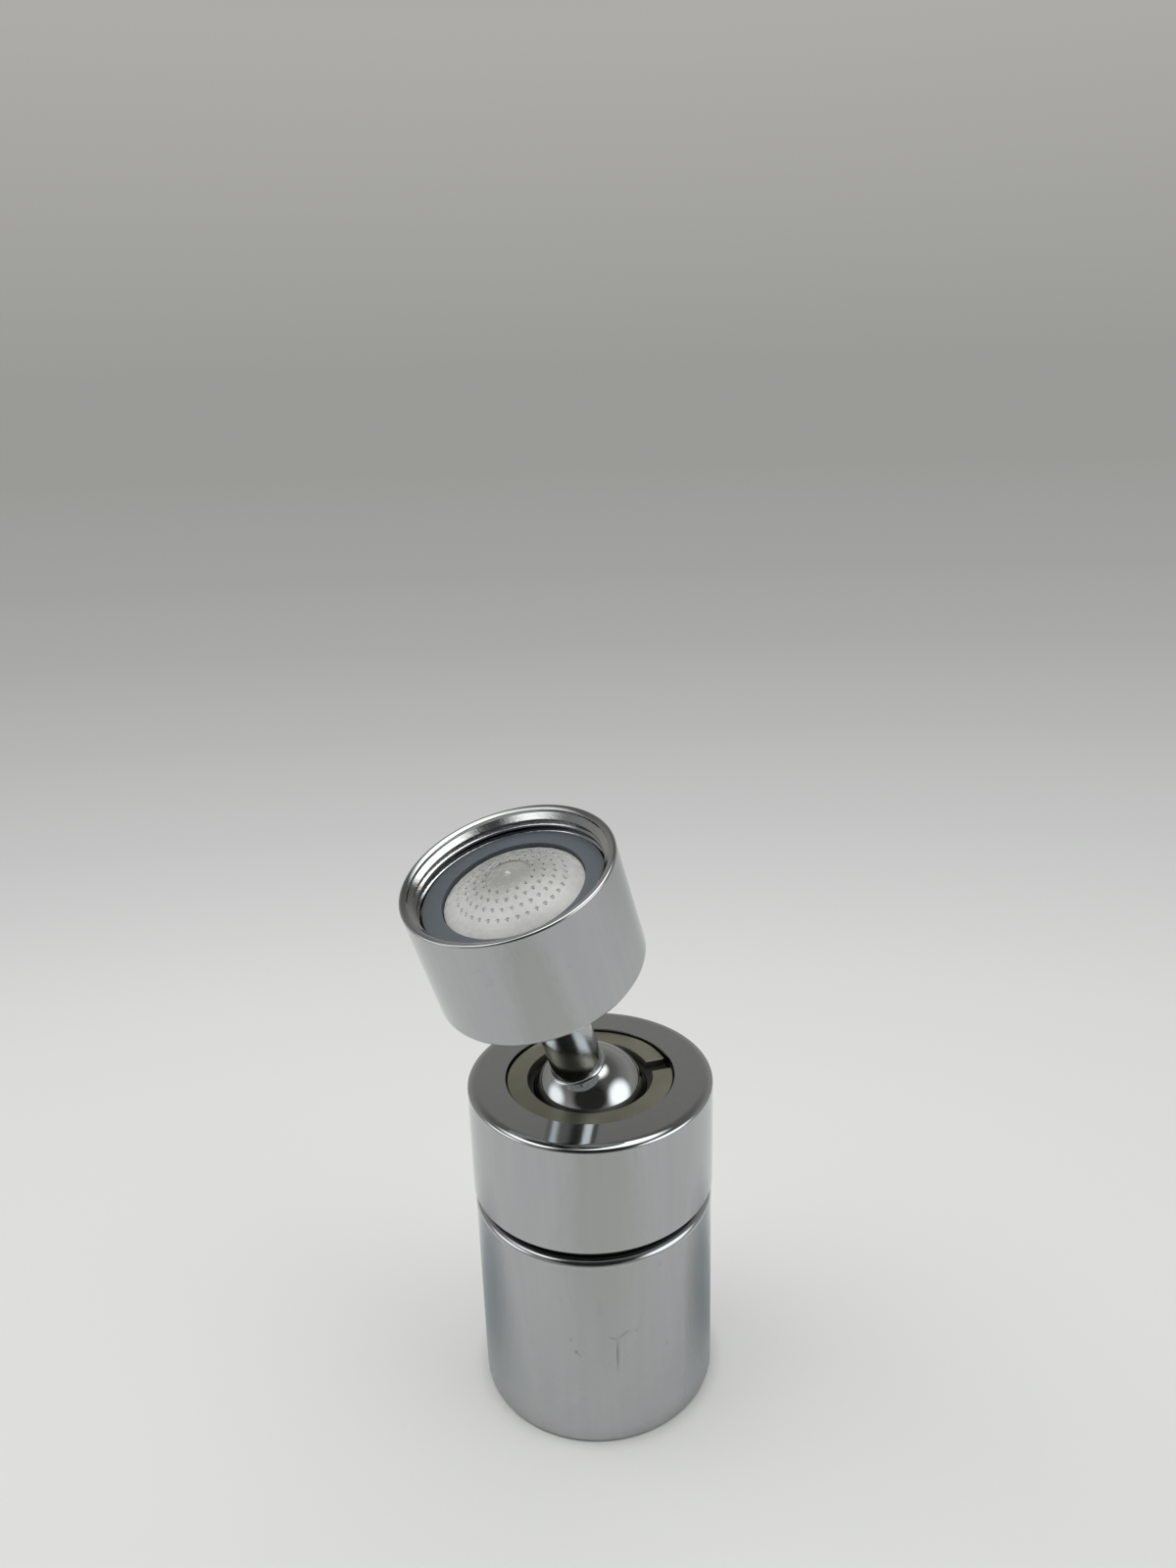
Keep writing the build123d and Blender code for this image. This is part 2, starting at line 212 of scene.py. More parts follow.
# Chrome plate over polished brass: a cool grey mirror. Polishing leaves it a little hazy in streaks along
# the axis, and handling leaves short dull scratches and specks. Nearer the axis than the unpolished radius
# it is satin and keeps the chatter of the turning tool, and where it is worn the brass shows brown.
def chrome_plate(name, stand, wall_radius, scratches, unpolished_radius=0, satin=0, bare_spots=()):
    material, tree, shader, place = new_material(name, Metallic=1.0)
    streak_width, streak_length = 0.9 * mm, 16 * mm
    streak_place = add_node(tree, "ShaderNodeMapping", {
        "Vector": place,
        "Location": stand.translation,
        "Rotation": stand.to_euler(),
        "Scale": (streak_width, streak_width, streak_length),
    }, vector_type="TEXTURE").outputs[0]
    streaks = add_node(tree, "ShaderNodeTexNoise", {
        "Vector": streak_place,
        "Scale": 1.0,
        "Detail": 3.0,
    }).outputs["Fac"]
    roughness = add_node(tree, "ShaderNodeMapRange", {
        "Value": streaks,
        "To Min": 0.05,
        "To Max": 0.11,
    }).outputs[0]
    colour = add_node(tree, "ShaderNodeMix", {
        "Factor": streaks,
        "A": linear("aeb1b3"),
        "B": linear("b8baba"),
    }, data_type="RGBA").outputs["Result"]
    if scratches:
        scratch_dullness = 0.25
        scratched = mark_strength(tree, place, stand, wall_radius, scratches)
        colour = add_node(tree, "ShaderNodeMix", {
            "Factor": scratched,
            "A": colour,
            "B": linear("6f706c"),
        }, data_type="RGBA").outputs["Result"]
        roughness = add_node(tree, "ShaderNodeMath", {
            0: scratched,
            1: scratch_dullness,
            2: roughness,
        }, operation="MULTIPLY_ADD").outputs[0]
    normal = add_node(tree, "ShaderNodeBump", {
        "Height": streaks,
        "Distance": 0.0006 * mm,
        "Strength": 1.0,
    }).outputs[0]
    if unpolished_radius:
        chatter_size = 0.3 * mm
        unpolished = add_node(tree, "ShaderNodeMath", {
            0: distance_from_axis(tree, place, stand),
            1: unpolished_radius,
        }, operation="LESS_THAN").outputs[0]
        chatter = add_node(tree, "ShaderNodeTexNoise", {
            "Vector": place,
            "Scale": 1 / chatter_size,
            "Detail": 2.0,
        })
        normal = add_node(tree, "ShaderNodeBump", {
            "Height": chatter.outputs["Fac"],
            "Distance": 0.009 * mm,
            "Strength": unpolished,
            "Normal": normal,
        }).outputs[0]
        roughness = add_node(tree, "ShaderNodeMath", {
            0: unpolished,
            1: satin,
            2: roughness,
        }, operation="MULTIPLY_ADD").outputs[0]
    if bare_spots:
        colour = add_node(tree, "ShaderNodeMix", {
            "Factor": mark_strength(tree, place, stand, unpolished_radius, bare_spots),
            "A": colour,
            "B": linear("9a6a3c"),
        }, data_type="RGBA").outputs["Result"]
    tree.links.new(colour, shader.inputs["Base Color"])
    tree.links.new(roughness, shader.inputs["Roughness"])
    tree.links.new(normal, shader.inputs["Normal"])
    return material


sleeve_foot, sleeve_top, foot_lip_radius, sleeve_radius = turned_sizes("sleeve", upright)
sleeve_wall = 1.6 * mm
sleeve_bore = sleeve_radius - sleeve_wall
foot_lip_top = 0.9 * mm
foot_relief_width = 0.9 * mm
foot_relief_height = 0.25 * mm
sleeve = turn("sleeve_tube", [
    (foot_lip_radius, sleeve_foot),
    (sleeve_radius - foot_relief_width, sleeve_foot),
    (sleeve_radius, sleeve_foot + foot_relief_height),
    (sleeve_radius, sleeve_top),
    (sleeve_bore, sleeve_top),
    (sleeve_bore, foot_lip_top),
    (foot_lip_radius, foot_lip_top),
], {2: 0.15 * mm, 3: 0.85 * mm, 4: 0.2 * mm})
place_piece(sleeve, upright)
# Angle round the wall in degrees, height, half width and half length in mm, slant in degrees, strength
sleeve_scratches = [
    (-124.4, 13.4, 0.2, 2.9, 0, 0.54),
    (-126.3, 16.0, 0.2, 0.9, 62, 0.42),
    (-121.2, 16.4, 0.2, 1.2, -58, 0.48),
    (-115.3, 16.6, 0.24, 0.28, 0, 0.54),
    (-143.4, 14.0, 0.28, 0.32, 0, 0.64),
    (-142.1, 13.6, 0.18, 0.4, 40, 0.38),
    (-145.6, 15.8, 0.2, 0.32, 0, 0.38),
    (-98.9, 12.7, 0.16, 0.4, 0, 0.32),
    (-132.1, 20.5, 0.4, 1.4, 0, 0.13),
    (-150.0, 21.6, 0.16, 0.3, 0, 0.32),
    (-103.0, 25.0, 0.2, 0.2, 0, 0.35),
]
sleeve_chrome = chrome_plate("chrome_plate_sleeve", upright, sleeve_radius, sleeve_scratches)
sleeve.data.materials.append(sleeve_chrome)
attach(sleeve, "outlet")
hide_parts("sleeve")

# Slide body, aerator cage and jet disc
# White moulded pieces inside the sleeve: the body that runs on the stem, the cage that screws into it
# from below, and the disc that splits the water into jets.


# Acetal, injection moulded: a dense milky white with a waxy gloss and the fine grain of a spark-eroded mould.
def white_acetal():
    material, tree, shader, place = new_material(
        "white_acetal", IOR=1.48, Subsurface_Weight=0.15, Subsurface_Scale=mm,
    )
    grain_size = 0.25 * mm
    grain = add_node(tree, "ShaderNodeTexNoise", {"Vector": place, "Scale": 1 / grain_size, "Detail": 2.0})
    tint = add_node(tree, "ShaderNodeMix", {
        "Factor": grain.outputs["Fac"],
        "A": linear("dcdcd6"),
        "B": linear("eeeeea"),
    }, data_type="RGBA")
    gloss = add_node(tree, "ShaderNodeMapRange", {
        "Value": grain.outputs["Fac"],
        "To Min": 0.3,
        "To Max": 0.45,
    })
    relief = add_node(tree, "ShaderNodeBump", {"Height": grain.outputs["Fac"], "Distance": 0.006 * mm})
    tree.links.new(tint.outputs["Result"], shader.inputs["Base Color"])
    tree.links.new(gloss.outputs[0], shader.inputs["Roughness"])
    tree.links.new(relief.outputs[0], shader.inputs["Normal"])
    return material


acetal = white_acetal()
for node in ("slide_body", "aerator_cage", "jet_disc"):
    frame["nodes"][node].material_slots[0].material = acetal

# Spray plate and outlet grid
# Grey moulded plates at the outlet: a ring of spray slots under the sleeve's channel, and the honeycomb
# that straightens the aerated stream. Each snaps in against a lip.


# ABS, injection moulded: even mid grey, satin, with faint paler flow marks.
def grey_abs():
    material, tree, shader, place = new_material("grey_abs", IOR=1.54)
    flow_size = 1.5 * mm
    flow = add_node(tree, "ShaderNodeTexNoise", {"Vector": place, "Scale": 1 / flow_size, "Detail": 5.0})
    tint = add_node(tree, "ShaderNodeMix", {
        "Factor": flow.outputs["Fac"],
        "A": linear("7d8285"),
        "B": linear("989da0"),
    }, data_type="RGBA")
    satin = add_node(tree, "ShaderNodeMapRange", {
        "Value": flow.outputs["Fac"],
        "To Min": 0.4,
        "To Max": 0.55,
    })
    relief = add_node(tree, "ShaderNodeBump", {"Height": flow.outputs["Fac"], "Distance": 0.01 * mm})
    tree.links.new(tint.outputs["Result"], shader.inputs["Base Color"])
    tree.links.new(satin.outputs[0], shader.inputs["Roughness"])
    tree.links.new(relief.outputs[0], shader.inputs["Normal"])
    return material


abs_plastic = grey_abs()
for node in ("spray_plate", "outlet_grid"):
    frame["nodes"][node].material_slots[0].material = abs_plastic

# Mesh screen
# A disc of woven stainless wire between the jet disc and the grid, which breaks up the jets.
# It is punched from cloth and only lies in the cage.


# Stainless wire cloth: bright wires crossing over holes that are painted near black, as painted shade. The wires
# are drawn at twice their real spacing, because finer ones would run together.
def wire_cloth():
    material, tree, shader, place = new_material("stainless_wire_cloth", Metallic=1.0, Roughness=0.3)
    wire_spacing = 0.6 * mm
    # A wave texture at scale 1 repeats every pi / 10 units
    wave_scale = math.pi / 10 / wire_spacing
    warp = add_node(tree, "ShaderNodeTexWave", {"Vector": place, "Scale": wave_scale}, bands_direction="X")
    weft = add_node(tree, "ShaderNodeTexWave", {"Vector": place, "Scale": wave_scale}, bands_direction="Y")
    wires = add_node(tree, "ShaderNodeMath", {
        0: warp.outputs["Fac"],
        1: weft.outputs["Fac"],
    }, operation="MAXIMUM")
    # The holes between the wires are painted near black, as painted shade
    tint = add_node(tree, "ShaderNodeMix", {
        "Factor": wires.outputs[0],
        "A": linear("1c1d1e"),
        "B": linear("b9bab8"),
    }, data_type="RGBA")
    relief = add_node(tree, "ShaderNodeBump", {"Height": wires.outputs[0], "Distance": 0.12 * mm})
    tree.links.new(tint.outputs["Result"], shader.inputs["Base Color"])
    tree.links.new(relief.outputs[0], shader.inputs["Normal"])
    return material


frame["nodes"]["mesh_screen"].material_slots[0].material = wire_cloth()

# Valve stem
# The hollow stem that screws into the housing and carries the sleeve, with a stop land near its end.
# It is turned from brass bar and left unplated, since the sleeve hides it.


# Turned brass: warm yellow metal with the fine rings of the lathe tool, a little dulled by water.
def turned_brass():
    material, tree, shader, place = new_material("turned_brass", Metallic=1.0)
    tool_feed = 0.2 * mm
    stain_size = 3 * mm
    rings = add_node(tree, "ShaderNodeTexWave", {
        "Vector": place,
        "Scale": math.pi / 10 / tool_feed,
        "Distortion": 0.4,
    }, bands_direction="Z")
    stain = add_node(tree, "ShaderNodeTexNoise", {"Vector": place, "Scale": 1 / stain_size, "Detail": 4.0})
    tint = add_node(tree, "ShaderNodeMix", {
        "Factor": stain.outputs["Fac"],
        "A": linear("b08b52"),
        "B": linear("d6b878"),
    }, data_type="RGBA")
    sheen = add_node(tree, "ShaderNodeMapRange", {
        "Value": stain.outputs["Fac"],
        "To Min": 0.38,
        "To Max": 0.2,
    })
    relief = add_node(tree, "ShaderNodeBump", {"Height": rings.outputs["Fac"], "Distance": 0.004 * mm})
    tree.links.new(tint.outputs["Result"], shader.inputs["Base Color"])
    tree.links.new(sheen.outputs[0], shader.inputs["Roughness"])
    tree.links.new(relief.outputs[0], shader.inputs["Normal"])
    return material


frame["nodes"]["valve_stem"].material_slots[0].material = turned_brass()

# Piston ring and nose seal
# Rubber rings on the stem: the sliding seal under the stop land, and the seal at the stem's end.
# They are moulded and stretched over the stem into their seats.


# Nitrile rubber, moulded: near black, dull, with a soft bloom of paler dust.
def black_rubber():
    material, tree, shader, place = new_material("nitrile_rubber", IOR=1.52)
    bloom_size = 0.6 * mm
    bloom = add_node(tree, "ShaderNodeTexNoise", {"Vector": place, "Scale": 1 / bloom_size, "Detail": 6.0})
    tint = add_node(tree, "ShaderNodeMix", {
        "Factor": bloom.outputs["Fac"],
        "A": linear("0c0c0d"),
        "B": linear("1d1d1e"),
    }, data_type="RGBA")
    dullness = add_node(tree, "ShaderNodeMapRange", {
        "Value": bloom.outputs["Fac"],
        "To Min": 0.5,
        "To Max": 0.75,
    })
    relief = add_node(tree, "ShaderNodeBump", {"Height": bloom.outputs["Fac"], "Distance": 0.01 * mm})
    tree.links.new(tint.outputs["Result"], shader.inputs["Base Color"])
    tree.links.new(dullness.outputs[0], shader.inputs["Roughness"])
    tree.links.new(relief.outputs[0], shader.inputs["Normal"])
    return material


rubber = black_rubber()
for node in ("piston_ring", "nose_seal"):
    frame["nodes"][node].material_slots[0].material = rubber

# Bumper ring
# The black ring in the gap under the housing, on which the sleeve's rim comes to rest.
# It is moulded in nitrile rubber with rounded edges and held by the stem's shoulder.
bumper_bottom, bumper_top, bumper_bore, bumper_radius = turned_sizes("bumper_ring", upright)
bumper = turn("bumper_cushion", [
    (bumper_bore, bumper_bottom),
    (bumper_radius, bumper_bottom),
    (bumper_radius, bumper_top),
    (bumper_bore, bumper_top),
], {1: 0.35 * mm, 2: 0.2 * mm})
place_piece(bumper, upright)
bumper.data.materials.append(rubber)
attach(bumper, "housing")
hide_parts("bumper_ring")

# Housing
# The upper chromed body, with the ball socket in its top and the stem's tapped hole in its floor.
# It is turned from brass bar and plated. Polishing has drawn its top edge out into a soft curve.
housing_bottom, housing_top, stem_hole_radius, housing_radius = turned_sizes("housing", upright)
_, _, _, collar_radius = turned_sizes("bearing_collar", upright)
seat_bottom, _, _, _ = turned_sizes("ball_seat", upright)
running_clearance = 0.1 * mm
socket_radius = collar_radius + running_clearance
edge_along_face = 1.15 * mm
edge_down_wall = 0.65 * mm


def arc(centre, half_width, half_height, start, end, steps):
    """Points of an arc of an ellipse in the (radius, height) plane, from one angle to another in radians."""
    angles = [start + (end - start) * step / steps for step in range(steps + 1)]
    return [
        (centre[0] + half_width * math.cos(angle), centre[1] + half_height * math.sin(angle))
        for angle in angles
    ]


edge_centre = (housing_radius - edge_along_face, housing_top - edge_down_wall)
housing_outline = [(stem_hole_radius, housing_bottom), (housing_radius, housing_bottom)]
housing_outline += arc(edge_centre, edge_along_face, edge_down_wall, 0, math.pi / 2, steps=12)
housing_outline += [
    (socket_radius, housing_top),
    (socket_radius, seat_bottom),
    (stem_hole_radius, seat_bottom),
]
housing = turn("housing_body", housing_outline, {1: 0.2 * mm})
place_piece(housing, upright)
# Listed as on the sleeve
housing_scratches = [
    (178.5, 38.8, 0.1, 0.45, 0, 0.2),
    (-140.0, 41.0, 0.1, 0.6, 70, 0.12),
]
housing_chrome = chrome_plate("chrome_plate_housing", upright, housing_radius, housing_scratches)
housing.data.materials.append(housing_chrome)
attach(housing, "housing")
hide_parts("housing")

# Ball seat and ball seal
# The moulded seat on the socket's floor, and the rubber ring on it that the ball presses down on.
# The seal's grip also holds the head at its angle.
frame["nodes"]["ball_seat"].material_slots[0].material = acetal
frame["nodes"]["ball_seal"].material_slots[0].material = rubber

# Ball stud
# The ball and its straight neck, with the waterway drilled through them. It is turned in one piece from
# brass, with a small fillet where the neck meets the ball, polished and plated.
ball_tilt = next(joint for joint in frame["joints"] if joint["name"] == "ball_tilt")
tap_thread = next(mount for mount in frame["record"]["mounts"] if mount["name"] == "tap_thread")
ball_centre = Vector(ball_tilt["pos_m"])
head_axis = Vector(tap_thread["axis"])
head_lean = Vector((0, 0, 1)).rotation_difference(head_axis)
leaning = Matrix.Translation(ball_centre) @ head_lean.to_matrix().to_4x4()
ball_radius = 7.25 * mm
neck_radius = 3.15 * mm
neck_fillet = 0.6 * mm
ball_bottom, neck_top, waterway_radius, _ = turned_sizes("ball_stud", leaning)
fillet_centre_radius = neck_radius + neck_fillet
fillet_height = math.sqrt((ball_radius + neck_fillet) ** 2 - fillet_centre_radius ** 2)
fillet_angle = math.atan2(fillet_height, fillet_centre_radius)
ball_outline = [(waterway_radius, ball_bottom)]
ball_start = math.asin(ball_bottom / ball_radius)
ball_outline += arc((0, 0), ball_radius, ball_radius, ball_start, fillet_angle, steps=56)
fillet_centre = (fillet_centre_radius, fillet_height)
ball_outline += arc(fillet_centre, neck_fillet, neck_fillet, fillet_angle + math.pi, math.pi, steps=8)[1:]
ball_outline += [(neck_radius, neck_top), (waterway_radius, neck_top)]
stud = turn("ball_and_neck", ball_outline, {})
place_piece(stud, leaning)
unpolished_neck = neck_radius + neck_fillet / 2
neck_satin = 0.05
stud_chrome = chrome_plate("chrome_plate_stud", leaning, ball_radius, [], unpolished_neck, neck_satin)
stud.data.materials.append(stud_chrome)
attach(stud, "head")
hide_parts("ball_stud")

# Bearing collar
# The black ring that holds the ball down above its middle and turns with it.
# It is moulded in acetal, with a conical seat inside.


# Black acetal, moulded: deep black with a soft waxy gloss and fine rub marks from the ball.
def black_acetal():
    material, tree, shader, place = new_material("black_acetal", IOR=1.48)
    rub_size = 0.4 * mm
    rub = add_node(tree, "ShaderNodeTexNoise", {"Vector": place, "Scale": 1 / rub_size, "Detail": 4.0})
    tint = add_node(tree, "ShaderNodeMix", {
        "Factor": rub.outputs["Fac"],
        "A": linear("0e0e0f"),
        "B": linear("222324"),
    }, data_type="RGBA")
    gloss = add_node(tree, "ShaderNodeMapRange", {"Value": rub.outputs["Fac"], "To Min": 0.3, "To Max": 0.5})
    tree.links.new(tint.outputs["Result"], shader.inputs["Base Color"])
    tree.links.new(gloss.outputs[0], shader.inputs["Roughness"])
    return material


frame["nodes"]["bearing_collar"].material_slots[0].material = black_acetal()

# Split ring
# The ring that closes the ball socket, screwed into its mouth above the collar. It is cut from flat
# steel, with a gap whose corners are rounded, in which a driver turns it.
ring_gap_angle = math.radians(-28.4)
ring_gap_width = 2.4 * mm
ring_corner_radius = 0.6 * mm
ring_edge_radius = 0.08 * mm
ring_bottom, ring_top, ring_bore, ring_radius = turned_sizes("split_ring", upright)
ring = turn("split_ring_flat", [
    (ring_bore, ring_bottom),
    (ring_radius, ring_bottom),
    (ring_radius, ring_top),
    (ring_bore, ring_top),
], {})


def cut_away(piece, cutter):
    """Cuts one mesh out of another and removes the cutter."""
    bpy.ops.object.select_all(action="DESELECT")
    piece.select_set(True)
    bpy.context.view_layer.objects.active = piece
    cut = piece.modifiers.new("cut", "BOOLEAN")
    cut.operation = "DIFFERENCE"
    cut.solver = "EXACT"
    cut.object = cutter
    bpy.ops.object.modifier_apply(modifier=cut.name)
    bpy.data.objects.remove(cutter)


bpy.ops.object.select_all(action="DESELECT")
gap_place = Matrix.Rotation(ring_gap_angle, 4, "Z") @ Matrix.Translation((ring_radius, 0, ring_top))
bpy.ops.mesh.primitive_cube_add(size=1)
gap_cutter = bpy.context.object
gap_cutter_height = 4 * mm
gap_cutter_size = Matrix.Diagonal((2 * ring_bore, ring_gap_width, gap_cutter_height, 1))
gap_cutter.matrix_world = gap_place @ gap_cutter_size
cut_away(ring, gap_cutter)


def at_gap_wall(place):
    """True for the points of the two flat walls of the gap."""
    in_gap = gap_place.inverted() @ place
    return abs(abs(in_gap.y) - ring_gap_width / 2) < weld and in_gap.x > -ring_bore


bpy.ops.object.mode_set(mode="EDIT")
bpy.ops.mesh.select_all(action="DESELECT")
bpy.ops.object.mode_set(mode="OBJECT")
for edge in ring.data.edges:
    first, second = (ring.data.vertices[number].co for number in edge.vertices)
    edge.select = at_gap_wall(first) and (first - second).xy.length < weld
bpy.ops.object.mode_set(mode="EDIT")
bpy.ops.mesh.select_mode(type="EDGE")
bpy.ops.mesh.bevel(offset_type="OFFSET", offset=ring_corner_radius, segments=6, profile=0.5)
bpy.ops.mesh.select_mode(type="VERT")
bpy.ops.object.mode_set(mode="OBJECT")

ring_end_wear = 0.3 * mm
ring_end_reach = 4.5 * mm


def at_worn_end(place):
    """True for the points of the gap's wall at the ring's worn end."""
    return at_gap_wall(place) and (gap_place.inverted() @ place).y > 0


bpy.ops.object.mode_set(mode="EDIT")
select_edges(ring, lambda place: place.z < ring_top - weld)
bpy.ops.mesh.hide(unselected=False)
select_edges(ring, at_worn_end)
bpy.ops.transform.translate(
    value=(0, 0, -ring_end_wear),
    use_proportional_edit=True,
    proportional_edit_falloff="SMOOTH",
    proportional_size=ring_end_reach,
)
bpy.ops.mesh.reveal()
bpy.ops.object.mode_set(mode="OBJECT")
edge_break = ring.modifiers.new("broken_edges", "BEVEL")
edge_break.width = ring_edge_radius
edge_break.segments = 2
edge_break.angle_limit = math.radians(50)
bpy.ops.object.modifier_apply(modifier=edge_break.name)
place_piece(ring, upright)


# Nickel-plated spring steel, tumbled: dull olive grey metal, blurred by fine pits and rub marks.
def dull_steel():
    material, tree, shader, place = new_material("dull_nickel_steel", Metallic=1.0)
    pit_size = 0.12 * mm
    cloud_size = 2.5 * mm
    pits = add_node(tree, "ShaderNodeTexNoise", {"Vector": place, "Scale": 1 / pit_size, "Detail": 2.0})
    clouds = add_node(tree, "ShaderNodeTexNoise", {"Vector": place, "Scale": 1 / cloud_size, "Detail": 4.0})
    tint = add_node(tree, "ShaderNodeMix", {
        "Factor": clouds.outputs["Fac"],
        "A": linear("989786"),
        "B": linear("aaa99b"),
    }, data_type="RGBA")
    blur = add_node(tree, "ShaderNodeMapRange", {
        "Value": clouds.outputs["Fac"],
        "To Min": 0.32,
        "To Max": 0.42,
    })
    relief = add_node(tree, "ShaderNodeBump", {"Height": pits.outputs["Fac"], "Distance": 0.003 * mm})
    tree.links.new(tint.outputs["Result"], shader.inputs["Base Color"])
    tree.links.new(blur.outputs[0], shader.inputs["Roughness"])
    tree.links.new(relief.outputs[0], shader.inputs["Normal"])
    return material


ring.data.materials.append(dull_steel())
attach(ring, "housing")
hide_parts("split_ring")

# Connector cup
# The inlet cup, turned from brass and plated, with an inside thread that screws onto the tap and a funnel
# down to the stud in its floor. Its lip slopes down to a recess, and a cone leads on into the thread.
cup_bottom, cup_lip, stud_hole_radius, cup_radius = turned_sizes("connector_cup", leaning)
filter_shoulder, dome_crown, _, flange_radius = turned_sizes("filter_dome", leaning)
washer_bottom, washer_face, washer_bore, washer_radius = turned_sizes("inlet_washer", leaning)
washer_room = 0.3 * mm
thread_radius = washer_radius + washer_room
filter_wall = 0.8 * mm
dome_radius = washer_bore - running_clearance
filter_bore = dome_radius - filter_wall
lip_slope = 0.28 * mm
lip_recess_width = 0.7 * mm
lip_recess_depth = 0.65 * mm
lead_in_depth = 0.5 * mm
cup = turn("threaded_cup", [
    (stud_hole_radius, cup_bottom),
    (cup_radius, cup_bottom),
    (cup_radius, cup_lip),
    (thread_radius + lip_recess_width, cup_lip - lip_slope),
    (thread_radius + lip_recess_width, cup_lip - lip_recess_depth),
    (thread_radius, cup_lip - lip_recess_depth - lead_in_depth),
    (thread_radius, filter_shoulder),
    (filter_bore, filter_shoulder),
    (stud_hole_radius, neck_top),
], {1: 0.6 * mm, 2: 0.42 * mm, 3: 0.06 * mm})

# The thread is a groove with flanks at 60 degrees to each other, which starts in the cone under the lip
thread_pitch = 1 * mm
thread_depth = 0.54 * mm
thread_root_width = thread_pitch / 8
thread_turns = 4
thread_start_angle = math.radians(-100)
thread_start_depth = 0.92 * mm
thread_steps = 144
half_flank_angle = math.radians(30)
cutter_overshoot = 0.3 * mm
thread_root = thread_radius + thread_depth
cutter_face = thread_radius - cutter_overshoot
half_root = thread_root_width / 2
half_mouth = half_root + (thread_root - cutter_face) * math.tan(half_flank_angle)
groove = draw_outline("thread_cutter", [
    (thread_root, -half_root),
    (thread_root, half_root),
    (cutter_face, half_mouth),
    (cutter_face, -half_mouth),
], {})
bpy.ops.object.mode_set(mode="OBJECT")
helix = groove.modifiers.new("helix", "SCREW")
helix.axis = "Z"
helix.angle = math.tau
helix.screw_offset = thread_pitch
helix.iterations = thread_turns
helix.steps = thread_steps
helix.render_steps = thread_steps
bpy.ops.object.modifier_apply(modifier=helix.name)
bpy.ops.object.mode_set(mode="EDIT")
bpy.ops.mesh.select_all(action="DESELECT")
bpy.ops.mesh.select_non_manifold()
bpy.ops.mesh.fill_holes(sides=0)
bpy.ops.mesh.select_all(action="SELECT")
bpy.ops.mesh.normals_make_consistent(inside=False)
bpy.ops.object.mode_set(mode="OBJECT")
groove_bottom = cup_lip - thread_start_depth - thread_turns * thread_pitch
groove.matrix_world = Matrix.Translation((0, 0, groove_bottom))
groove.matrix_world = groove.matrix_world @ Matrix.Rotation(thread_start_angle, 4, "Z")
cut_away(cup, groove)
place_piece(cup, leaning)
# Listed as on the sleeve, with heights along the cup's own axis from the ball's centre
cup_scratches = [
    (-135.0, 34.2, 0.5, 0.5, 10, 0.07),
    (-131.2, 34.3, 0.25, 0.9, 8, 0.09),
    (-128.7, 34.6, 0.2, 0.8, 8, 0.1),
    (-116.9, 32.9, 0.3, 0.9, 12, 0.08),
    (-117.0, 30.0, 0.35, 0.7, 25, 0.08),
    (-147.8, 31.2, 0.9, 0.35, 25, 0.07),
    (-151.8, 33.0, 1.0, 0.25, 15, 0.08),
    (-108.2, 30.6, 0.3, 0.3, 0, 0.08),
    (-145.9, 31.8, 0.6, 0.25, 20, 0.07),
]
cup_bare_spots = [
    (131.0, 34.2, 1.1, 0.6, 0, 0.75),
    (121.0, 34.7, 1.2, 0.4, 0, 0.35),
]
thread_satin = 0.02
cup_chrome = chrome_plate(
    "chrome_plate_cup", leaning, cup_radius, cup_scratches, thread_root, thread_satin, cup_bare_spots,
)
cup.data.materials.append(cup_chrome)
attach(cup, "head")
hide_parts("connector_cup")

# Filter dome
# The domed strainer that keeps grit out, with four rings of pin holes round a plain middle. It is moulded
# in one piece with the flange that the washer clamps, and has a gate mark at its crown.
dome_edge_drop = 0.6 * mm
dome_edge = washer_face - dome_edge_drop
dome_rise = dome_crown - dome_edge
dome_sphere = (dome_radius ** 2 + dome_rise ** 2) / (2 * dome_rise)
sphere_centre = (0, dome_crown - dome_sphere)
disc_radius = 2.5 * mm
disc_depth = 0.14 * mm
disc_bank = 0.08 * mm
pip_radius = 0.36 * mm
pip_height = 0.12 * mm
upwards = math.pi / 2


def dome_arc(depth, from_radius, to_radius, steps):
    """Points along the dome at a depth under its outer face, from one radius to another."""
    radius = dome_sphere - depth
    start = upwards - math.asin(from_radius / radius)
    end = upwards - math.asin(to_radius / radius)
    return arc(sphere_centre, radius, radius, start, end, steps)


dome_outline = dome_arc(filter_wall, 0, filter_bore, steps=10)
dome_outline += [
    (filter_bore, filter_shoulder),
    (flange_radius, filter_shoulder),
    (flange_radius, washer_bottom),
    (dome_radius, washer_bottom),
]
dome_outline += dome_arc(0, dome_radius, disc_radius + disc_bank, steps=24)
dome_outline += dome_arc(disc_depth, disc_radius, pip_radius, steps=8)
dome_outline += dome_arc(-pip_height, pip_radius / 2, 0, steps=3)
dome = turn("filter_strainer", dome_outline, {}, closed=False)

